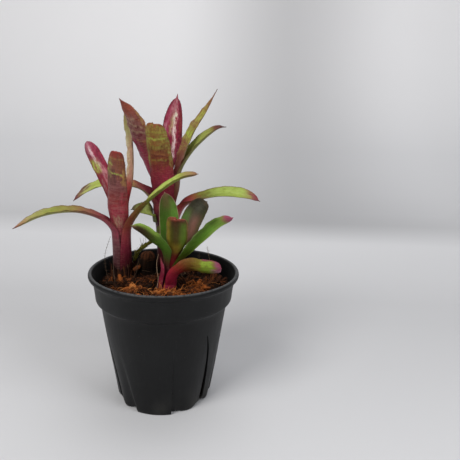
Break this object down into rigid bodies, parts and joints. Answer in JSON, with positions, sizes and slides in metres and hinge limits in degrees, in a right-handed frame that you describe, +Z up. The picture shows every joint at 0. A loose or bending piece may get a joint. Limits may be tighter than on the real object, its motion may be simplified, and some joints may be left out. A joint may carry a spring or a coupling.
{
  "type": "potted neoregelia bromeliad",
  "caption": "Neoregelia bromeliad with tube-like shoots of banded strap leaves, rooted in coir in a tapered nursery pot that stands on a flat surface.",
  "frame": {"origin": "centre of the pot's foot, on the surface it stands on", "axes": "+Z up along the pot's axis, -Y towards the plant's front, +X to its right"},
  "size_m": [0.1641, 0.102, 0.2128],
  "materials": {
    "pot_plastic": "black moulded plastic, soft sheen",
    "coir": "loose coir chips and fibre",
    "husk": "dark ridged husk",
    "dry_scale": "dry papery scales",
    "green_leaf": "lime leaf, satin",
    "dark_green_leaf": "dark green leaf, satin",
    "banded_leaf": "maroon leaf with olive cross bands, satin",
    "magenta_leaf": "glossy crimson leaf"
  },
  "bodies": {
    "root": {"pot": "pot_plastic", "substrate": "coir", "husk_chunk": "husk", "stolon": "dry_scale", "stem_left": "husk", "left_right": "green_leaf", "left_low": "green_leaf", "left_front": "banded_leaf", "left_inner": "magenta_leaf", "left_upright": "banded_leaf", "stem_tall": "husk", "tall_right_low": "green_leaf", "tall_left_low": "green_leaf", "tall_front": "banded_leaf", "tall_left": "banded_leaf", "tall_right_mid": "green_leaf", "tall_right_high": "banded_leaf", "tall_inner": "magenta_leaf", "tall_small": "green_leaf", "tall_bract": "dry_scale", "stem_small": "husk", "small_low": "green_leaf", "small_left": "dark_green_leaf", "small_right": "green_leaf", "small_front": "banded_leaf", "small_left_up": "dark_green_leaf", "small_right_back": "dark_green_leaf", "small_bract": "magenta_leaf"}
  },
  "joints": []
}
